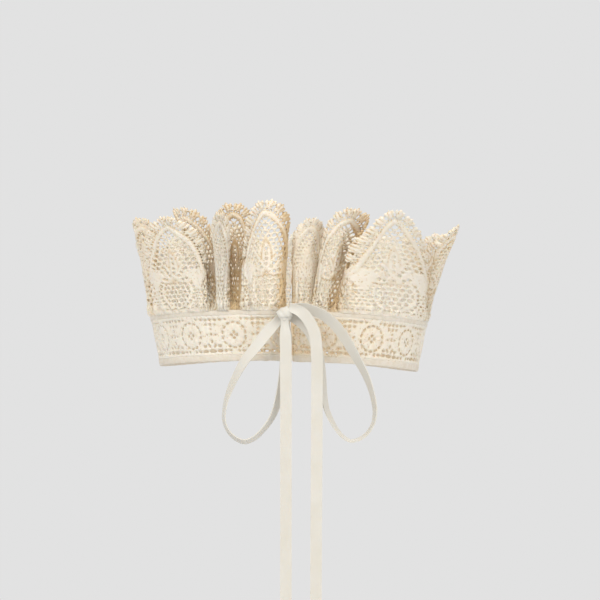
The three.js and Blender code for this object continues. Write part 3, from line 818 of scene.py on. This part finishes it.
def make_ribbon(node, width, thick, steps, pinched, pinch, material):
    """One stretch of ribbon, narrowed to the share pinch where it goes into the knot."""
    run = into_knot(RIBBON_RUNS[node], pinched)
    centre, tangent, turn, length = ribbon_line(run, steps)
    wide, through = ribbon_frame(tangent, turn)
    far = np.linspace(0, length, steps + 1)
    from_knot = np.full(steps + 1, 99.0)
    if "start" in pinched:
        from_knot = np.minimum(from_knot, far)
    if "end" in pinched:
        from_knot = np.minimum(from_knot, length - far)
    opened = ease_between(from_knot, INTO_KNOT, PINCH_LENGTH)
    half = width / 2 * (pinch + (1 - pinch) * opened)
    curl = 0.9 * (1 - opened)

    def place(u, v):
        station = np.clip(np.round(u * steps).astype(int), 0, steps)
        side = 2 * v - 1
        bow = curl[station] * (1 - side * side) + 0.12 * np.sin(far[station] / 5.5 + side)
        return (
            centre[station]
            + wide[station] * (side * half[station])[:, None]
            - through[station] * bow[:, None]
        )

    obj = grid_strip(steps, 6, length, width, place)
    thicken(obj, thick)
    finish_piece(obj, node, "ribbon", material)
    return obj, centre * MM, length * MM


# ---------- materials ----------
# how each cloth takes the light
COTTON_FINISH = {
    "Roughness": 0.85, "Specular IOR Level": 0.25,
    "Sheen Weight": 0.15, "Sheen Roughness": 0.6, "Subsurface Weight": 0.25,
    "Subsurface Radius": (1.0, 0.75, 0.5), "Subsurface Scale": 0.0012,
}
TAPE_FINISH = {
    **COTTON_FINISH,
    "Sheen Roughness": 0.5, "Subsurface Weight": 0.15, "Subsurface Scale": 0.001,
}
RIBBON_FINISH = {
    "Roughness": 0.55, "Specular IOR Level": 0.35,
    "Sheen Weight": 0.2, "Sheen Roughness": 0.4, "Subsurface Weight": 0.2,
    "Subsurface Radius": (1.0, 0.8, 0.6), "Subsurface Scale": 0.001,
}


def node_material(name, finish):
    """A new material with one shader that has a finish's values."""
    material = bpy.data.materials.new(name)
    material.use_nodes = True
    tree = material.node_tree
    tree.nodes.clear()
    shader = add_node(tree, "ShaderNodeBsdfPrincipled", **finish)
    add_node(tree, "ShaderNodeOutputMaterial", {"Surface": shader.outputs["BSDF"]})
    return material, tree, shader


def add_node(tree, kind, links=None, **values):
    """Adds a node with its values, and links outputs to the inputs named."""
    node = tree.nodes.new(kind)
    for key, value in values.items():
        if key in node.inputs:
            node.inputs[key].default_value = value
        else:
            setattr(node, key, value)
    for key, output in (links or {}).items():
        tree.links.new(output, node.inputs[key])
    return node


def noise(tree, **values):
    """Noise that runs through the whole piece."""
    source = tree.nodes.new("ShaderNodeTexCoord")
    place = {"Vector": source.outputs["Object"]}
    return add_node(tree, "ShaderNodeTexNoise", place, **values).outputs["Fac"]


def on_flat(tree, kind, output, turn=0.0, **values):
    """A texture laid on the flat cloth, turned in its plane."""
    source = add_node(tree, "ShaderNodeUVMap", uv_map="flat")
    mapping = add_node(
        tree, "ShaderNodeMapping", {"Vector": source.outputs["UV"]}, Rotation=(0, 0, turn)
    )
    place = {"Vector": mapping.outputs["Vector"]}
    return add_node(tree, kind, place, **values).outputs[output]


def add_share(tree, value, share, base):
    """base + share * value"""
    node = add_node(tree, "ShaderNodeMath", {0: value, 2: base}, operation="MULTIPLY_ADD")
    node.inputs[1].default_value = share
    return node.outputs["Value"]


def add_bump(tree, shader, height, strength, distance):
    """Raises the cloth's threads by a height."""
    add = {"Height": height}
    bump = add_node(tree, "ShaderNodeBump", add, Strength=strength, Distance=distance)
    tree.links.new(bump.outputs["Normal"], shader.inputs["Normal"])


def colour_ramp(tree, shader, factor, colour, stops):
    """Colours a shader by a factor, with a share of its colour at each stop."""
    ramp = add_node(tree, "ShaderNodeValToRGB", {"Fac": factor})
    elements = ramp.color_ramp.elements
    for place, _ in stops[1:-1]:
        elements.new(place)
    for stop, (place, tint) in zip(elements, stops):
        stop.position = place
        stop.color = (*(c * k for c, k in zip(colour, tint)), 1)
    tree.links.new(ramp.outputs["Color"], shader.inputs["Base Color"])


def cotton_lace_material(settings):
    """Matt cotton: embroidered threads over the lace, with painted golden shade in its depths."""
    material, tree, shader = node_material("cotton lace", COTTON_FINISH)
    # painted shade, kept in the lace's attribute
    shade = add_node(tree, "ShaderNodeAttribute", attribute_name="painted_shade")

    # pinholes between the stitches, too fine to cut
    stitches = on_flat(tree, "ShaderNodeTexVoronoi", "Distance", Scale=7.8)
    near = {"From Min": 0.1, "From Max": 0.32, "To Min": 0.62, "To Max": 0.0}
    pinholes = add_node(tree, "ShaderNodeMapRange", {"Value": stitches}, **near)
    pinholes = pinholes.outputs["Result"]

    # slow unevenness of the cotton's tone, added to the painted shade
    blotch = noise(tree, Scale=110.0, Detail=4.0, Roughness=0.65)
    tone_and_shade = add_share(tree, blotch, 0.5, shade.outputs["Fac"])
    # the colour darkens from the cotton colour to the shaded and golden tones as painted shade,
    # tone unevenness and pinholes add up
    colour_ramp(tree, shader, add_share(tree, pinholes, 1.0, tone_and_shade), settings.cotton_colour, (
        (0.18, (1, 1, 1)), (0.62, settings.shaded_tone), (1.0, settings.deep_shade_tone),
    ))

    threads = on_flat(tree, "ShaderNodeTexWave", "Fac", 0.6, Scale=6.5, Distortion=7.0, Detail=2.0)
    fuzz = noise(tree, Scale=1300.0, Detail=2.0)
    height = add_share(tree, pinholes, -2.0, add_share(tree, fuzz, 0.7, threads))
    add_bump(tree, shader, height, 0.7, 0.0003)
    return material


def woven_tape_material(settings):
    """Plain woven cotton tape with fine ribs across it."""
    material, tree, shader = node_material("cotton tape", TAPE_FINISH)
    colour = tuple(c * k for c, k in zip(settings.cotton_colour, settings.tape_tone))
    blotch = noise(tree, Scale=420.0, Detail=4.0, Roughness=0.7)
    colour_ramp(tree, shader, blotch, colour, ((0.3, (0.9, 0.86, 0.78)), (0.7, (1, 1, 1))))
    ribs = on_flat(tree, "ShaderNodeTexWave", "Fac", Scale=7.0, Distortion=0.6, Detail=1.0)
    fuzz = noise(tree, Scale=1800.0, Detail=2.0)
    add_bump(tree, shader, add_share(tree, fuzz, 0.8, ribs), 0.7, 0.0003)
    return material


def ribbon_material(settings):
    """Closely woven ribbon with a low sheen."""
    material, tree, shader = node_material("woven ribbon", RIBBON_FINISH)
    blotch = noise(tree, Scale=90.0, Detail=2.0)
    stops = ((0.3, (0.965, 0.955, 0.93)), (0.7, (1, 1, 1)))
    colour_ramp(tree, shader, blotch, settings.ribbon_colour, stops)
    weft = on_flat(tree, "ShaderNodeTexWave", "Fac", Scale=11.0, Distortion=0.3, Detail=1.0)
    warp = on_flat(
        tree, "ShaderNodeTexWave", "Fac", Scale=14.0, Distortion=0.2, bands_direction="Y"
    )
    add_bump(tree, shader, add_share(tree, warp, 0.5, weft), 0.1, 0.00008)
    return material


def floor_material():
    """Plain pale ground with a faint grain."""
    material, tree, shader = node_material("pale floor", {"Roughness": 0.9})
    grain = noise(tree, Scale=4.0, Detail=2.0)
    colour_ramp(tree, shader, grain, (0.78,) * 3, ((0.3, (0.985,) * 3), (0.7, (1, 1, 1))))
    return material


# ---------- settings ----------
def length_setting(name, description, default, low, high):
    return bpy.props.FloatProperty(
        name=name, description=description,
        default=default, min=low, max=high, precision=5, unit="LENGTH",
    )


def colour_setting(name, description, default):
    return bpy.props.FloatVectorProperty(
        name=name, description=description,
        default=default, subtype="COLOR", size=3, min=0, max=1,
    )


class COLLAR_PG_lace(bpy.types.PropertyGroup):
    mesh_step: length_setting(
        "Front mesh step", "Grid size of the lace that shows in front", 0.00046, 0.0003, 0.002
    )
    back_mesh_step: length_setting(
        "Back mesh step", "Grid size of the lace round the back", 0.0007, 0.0004, 0.003
    )
    thickness: length_setting(
        "Lace thickness", "Thickness of the corded lace", 0.001, 0.0003, 0.002
    )
    gather: length_setting(
        "Gather depth", "Depth of the small gathers at the ruffle's foot", 0.0011, 0, 0.002
    )
    cotton_colour: colour_setting(
        "Cotton colour", "Colour of the lace and tapes", (0.90, 0.835, 0.725)
    )
    tape_tone: colour_setting(
        "Tape tone", "Share of the cotton colour that the plain tapes have", (0.97, 0.97, 0.98)
    )
    shaded_tone: colour_setting(
        "Shaded tone", "Share of the cotton colour where the lace is shaded", (0.93, 0.87, 0.77)
    )
    # painted shade: the tone deep between folds, where shade falls
    deep_shade_tone: colour_setting(
        "Golden tone", "Share of the cotton colour deep between folds", (0.74, 0.58, 0.37)
    )


class COLLAR_PG_ribbon(bpy.types.PropertyGroup):
    width: length_setting(
        "Ribbon width", "Width of the bow's ribbon", 0.0055, 0.003, 0.012
    )
    thickness: length_setting(
        "Ribbon thickness", "Thickness of the bow's ribbon", 0.0005, 0.0002, 0.001
    )
    ribbon_colour: colour_setting("Ribbon colour", "Colour of the ribbon", (0.62, 0.597, 0.54))


class COLLAR_PG_studio(bpy.types.PropertyGroup):
    camera_distance: length_setting(
        "Camera distance", "From the camera to the collar's middle", 1.5, 0.5, 5
    )
    camera_tilt: bpy.props.FloatProperty(
        name="Camera tilt", description="Angle of the camera above the collar",
        default=math.radians(-3), subtype="ANGLE",
    )
    backdrop: bpy.props.FloatProperty(
        name="Backdrop", description="Brightness of the plain surroundings",
        default=0.76, min=0, max=2,
    )


# ---------- operators ----------
class COLLAR_OT_stage(bpy.types.Operator):
    """Sets up the camera, the soft lights and the plain pale floor"""

    bl_idname = "collar.stage"
    bl_label = "Stage"

    def execute(self, context):
        settings = context.scene.collar_studio
        tilt = settings.camera_tilt
        aim = Vector((5.0, 0.0, 34.3)) * MM
        back = Vector((0, -math.cos(tilt), math.sin(tilt)))
        data = bpy.data.cameras.new("camera")
        camera = bpy.data.objects.new("camera", data)
        context.scene.collection.objects.link(camera)
        camera.location = aim + back * settings.camera_distance
        camera.rotation_euler = (-back).to_track_quat("-Z", "Y").to_euler()
        data.lens, data.sensor_width = 180, 36
        data.clip_start, data.clip_end = 0.05, 20
        context.scene.camera = camera

        lamps = [
            ("key light", (-0.5, -1.2, 0.75), 1.0, 9.5, (1.0, 0.985, 0.96)),
            ("fill light", (1.0, -1.1, 0.3), 1.2, 5.5, (1.0, 0.99, 0.98)),
            ("rim light", (0.1, 0.9, 0.9), 0.9, 3.0, (1.0, 0.99, 0.98)),
            ("top light", (0.1, -0.6, 1.3), 0.9, 3.5, (1.0, 0.99, 0.98)),
        ]
        for name, place, size, power, colour in lamps:
            lamp = bpy.data.lights.new(name, "AREA")
            lamp.shape, lamp.size = "DISK", size
            lamp.energy, lamp.color = power, colour
            obj = bpy.data.objects.new(name, lamp)
            context.scene.collection.objects.link(obj)
            obj.location = place
            towards = Vector((0, 0, 0.02)) - obj.location
            obj.rotation_euler = towards.to_track_quat("-Z", "Y").to_euler()

        world = bpy.data.worlds.new("plain light")
        world.use_nodes = True
        shade = world.node_tree.nodes["Background"]
        shade.inputs["Color"].default_value = (settings.backdrop,) * 3 + (1,)
        shade.inputs["Strength"].default_value = 1.0
        context.scene.world = world
        context.scene.view_settings.view_transform = "Standard"

        clear_selection()
        bpy.ops.mesh.primitive_circle_add(
            vertices=96, radius=1.0, fill_type="NGON", location=(0, 0, -0.5)
        )
        floor = context.object
        bpy.ops.object.transform_apply(location=True)
        floor.name = "floor"
        floor.data.materials.append(floor_material())
        return {"FINISHED"}


class COLLAR_OT_ribbon_bow(bpy.types.Operator):
    """Makes the ribbon's ties, loops, tails and knot"""

    bl_idname = "collar.ribbon_bow"
    bl_label = "Ribbon bow"

    def execute(self, context):
        settings = context.scene.collar_ribbon
        width, thick = settings.width / MM, settings.thickness / MM
        material = ribbon_material(settings)
        plans = [
            ("tail_left", 110, ("start",), 0.62),
            ("tail_right", 130, ("start",), 0.8),
            ("loop_left", 150, ("start", "end"), 0.8),
            ("loop_right", 170, ("start", "end"), 0.8),
            ("tie_left", 10, ("end",), 0.6),
            ("tie_right", 14, ("end",), 0.6),
        ]
        for node, steps, pinched, pinch in plans:
            make_ribbon(node, width, thick, steps, pinched, pinch, material)
        self.make_knot(material)
        return {"FINISHED"}

    def make_knot(self, material):
        """The wrap of ribbon round the bow's middle, puckered as it is pulled tight."""
        clear_selection()
        bpy.ops.mesh.primitive_uv_sphere_add(segments=72, ring_count=48, radius=1.0)
        knot = bpy.context.object
        mesh = knot.data
        x, y, z = corners_of(mesh).T
        round_angle = np.arctan2(y, x)
        # from the middle of the wrap out to its lip, then in over its hollow end
        lean = np.arcsin(np.clip(z, -1, 1)) / (math.pi / 2)
        outer_share = np.clip(np.abs(lean) / KNOT_LIP, 0, 1)
        inner_share = np.clip((np.abs(lean) - KNOT_LIP) / (1 - KNOT_LIP), 0, 1)
        width = np.sign(lean) * (outer_share - 0.4 * np.sin(inner_share * math.pi / 2))
        barrel = 1 - 0.22 * outer_share ** 2
        barrel *= np.sqrt(np.maximum(1 - inner_share ** 2, 0))
        pucker = 0.045 * np.sin(width * 7.5 + 1.3 * np.sin(round_angle))
        from_crease = np.mod(round_angle - 2.4 + 0.5 * width, 2 * math.pi) - math.pi
        overlap = -0.14 * np.exp(-(from_crease / 0.22) ** 2)
        barrel *= 1 + (pucker + overlap) * (1 - inner_share)
        # the wrap's axis runs from lower left to upper right
        tilt = math.radians(KNOT_AXIS)
        along = np.array([math.cos(tilt), 0, math.sin(tilt)])
        side = np.array([-math.sin(tilt), 0, math.cos(tilt)])
        front = np.array([0, -1.0, 0])
        points = (
            np.outer(width * KNOT_HALF[0], along)
            + np.outer(barrel * np.sin(round_angle) * KNOT_HALF[1], side)
            + np.outer(barrel * np.cos(round_angle) * KNOT_HALF[2], front)
            + np.array(KNOT_CENTRE)
        )
        move_corners(mesh, points)
        face_outward(mesh)
        mesh.uv_layers.active.name = "flat"
        shade_soft(knot, 80)
        finish_piece(knot, "bow_knot", "wrap", material)


def ring_length_table(start, end, height):
    """Arc length along the ring against its angle."""
    angle = np.linspace(start, end, 2000)
    return angle, length_along(ring_point(angle, height))


BAND_SIDES = [
    ("left", OPENING_LEFT, -180 + BACK_SPLIT),
    ("right", OPENING_RIGHT, 180 - BACK_SPLIT),
]


class COLLAR_OT_neck_band(bpy.types.Operator):
    """Makes the two halves of the neck band's lace"""

    bl_idname = "collar.neck_band"
    bl_label = "Neck band"

    def execute(self, context):
        settings = context.scene.collar_lace
        material = cotton_lace_material(settings)
        thick = settings.thickness / MM * 0.9
        tuck_under = 0.9
        for side, start, end in BAND_SIDES:
            angle, length = ring_length_table(start, end, BAND_TOP / 2)
            foot = HEM_TAPE_TOP + 0.3
            outward = -1 if side == "left" else 1

            def point_at(along, up):
                turn = np.interp(along, length, angle)
                uneven = 0.25 * soft_noise(along, up, 9.0)
                return ring_point(turn, foot + up, uneven)

            def pattern(along, up):
                return band_lace(along - BAND_START[side], up)

            # painted shade in the recess beside the front opening
            def shade_at(along, up):
                tan = smooth(BAND_OPENING_SHADE, 0, 1, np.interp(along, length, angle))
                return 0.75 * tan * np.abs(tan)

            lace, area = lace_mesh(
                0.0, length[-1], -tuck_under, BAND_LACE_HEIGHT + tuck_under,
                settings.mesh_step / MM, pattern, point_at, thick, outward, shade_at,
            )
            finish_piece(lace, f"band_{side}", "lace", material)
        return {"FINISHED"}


class COLLAR_OT_tapes(bpy.types.Operator):
    """Makes the plain tapes along the hem and over the seam"""

    bl_idname = "collar.tapes"
    bl_label = "Tapes"

    def execute(self, context):
        material = woven_tape_material(context.scene.collar_lace)
        plans = [
            ("hem_tape", 0.0, HEM_TAPE_TOP, 1.2, 0.10),
            ("seam_tape", SEAM_TAPE_FOOT, BAND_TOP, 1.1, 0.16),
        ]
        for kind, low, high, thick, wander in plans:
            for side, start, end in BAND_SIDES:
                angle, length = ring_length_table(start, end, (low + high) / 2)
                columns = int(length[-1] / 0.9)

                def place(u, v):
                    along = u * length[-1]
                    turn = np.interp(along, length, angle)
                    edge = 2 * v - 1
                    height = low + (high - low) * v + wander * soft_noise(along, 4 * v, 2.3)
                    puff = -0.16 * (1 - edge * edge) + wander * soft_noise(along + 9, 3 * v, 1.6)
                    return ring_point(turn, height, puff)

                tape = grid_strip(columns, 5, length[-1], high - low, place)
                thicken(tape, thick, edge=0.4)
                face_outward(tape.data)
                finish_piece(tape, f"{kind}_{side}", "cloth", material)
        return {"FINISHED"}


class COLLAR_OT_ruffle(bpy.types.Operator):
    """Makes the four lengths of the scalloped ruffle"""

    bl_idname = "collar.ruffle"
    bl_label = "Ruffle"

    def execute(self, context):
        settings = context.scene.collar_lace
        material = cotton_lace_material(settings)
        gather = settings.gather / MM
        gap, tuck_under = 0.1, 1.2

        def point_at(along, up):
            base = ruffle_point(along, up)
            normal = normals_of(ruffle_point, along, up)
            fade = np.exp(-np.maximum(up, 0) / 8.0) * ease_between(up, -0.7, 1.6)
            depth = gather * (1 + 0.45 * np.sin(along * 0.23)) * fade
            small = depth * np.sin(2 * math.pi * along / 6.0 + 1.4 * np.sin(along * 0.31))
            near_edge = ease_between(up, 14.0, 46.0)
            wave = 0.6 * near_edge * soft_noise(along, up, 5.5)
            return base + normal * (small + wave)[..., None]

        # painted shade in the ruffle's folds, read from the table between the top and the foot
        def shade_at(along, up):
            lace = along / SCALLOP_WIDTH
            top, foot = (smooth(RUFFLE_FOLD_SHADE, 0, column, lace) for column in (1, 2))
            tan = foot + (top - foot) * ease_between(up, 4, LACE_HEIGHT * 0.8)
            return 0.75 * tan * np.abs(tan)

        for name, start, end in RUFFLE_LENGTHS:
            step = settings.mesh_step if name.startswith("front") else settings.back_mesh_step
            lace, area = lace_mesh(
                start * SCALLOP_WIDTH + gap, end * SCALLOP_WIDTH - gap, -tuck_under,
                LACE_HEIGHT + 0.6, step / MM, ruffle_lace, point_at,
                settings.thickness / MM, -1, shade_at,
            )
            finish_piece(lace, f"ruffle_{name}", "lace", material)
        return {"FINISHED"}


OPERATORS = (
    COLLAR_OT_stage,
    COLLAR_OT_ribbon_bow,
    COLLAR_OT_neck_band,
    COLLAR_OT_tapes,
    COLLAR_OT_ruffle,
)


class COLLAR_PT_panel(bpy.types.Panel):
    """Lists the collar's pieces and their settings"""

    bl_idname = "COLLAR_PT_panel"
    bl_label = "Lace collar"
    bl_space_type = "VIEW_3D"
    bl_region_type = "UI"
    bl_category = "Lace collar"

    def draw(self, context):
        column = self.layout.column(align=True)
        for operator in OPERATORS:
            column.operator(operator.bl_idname)
        for group in ("collar_lace", "collar_ribbon", "collar_studio"):
            settings = getattr(context.scene, group)
            box = self.layout.box()
            for key in settings.__annotations__:
                box.prop(settings, key)


CLASSES = (COLLAR_PG_lace, COLLAR_PG_ribbon, COLLAR_PG_studio, *OPERATORS, COLLAR_PT_panel)


def register():
    for item in CLASSES:
        bpy.utils.register_class(item)
    bpy.types.Scene.collar_lace = bpy.props.PointerProperty(type=COLLAR_PG_lace)
    bpy.types.Scene.collar_ribbon = bpy.props.PointerProperty(type=COLLAR_PG_ribbon)
    bpy.types.Scene.collar_studio = bpy.props.PointerProperty(type=COLLAR_PG_studio)


def unregister():
    del bpy.types.Scene.collar_studio
    del bpy.types.Scene.collar_ribbon
    del bpy.types.Scene.collar_lace
    for item in reversed(CLASSES):
        bpy.utils.unregister_class(item)


def main():
    register()
    bpy.ops.collar.stage()
    bpy.ops.collar.ribbon_bow()
    bpy.ops.collar.neck_band()
    bpy.ops.collar.tapes()
    bpy.ops.collar.ruffle()
    clear_selection()


if __name__ == "__main__":
    main()
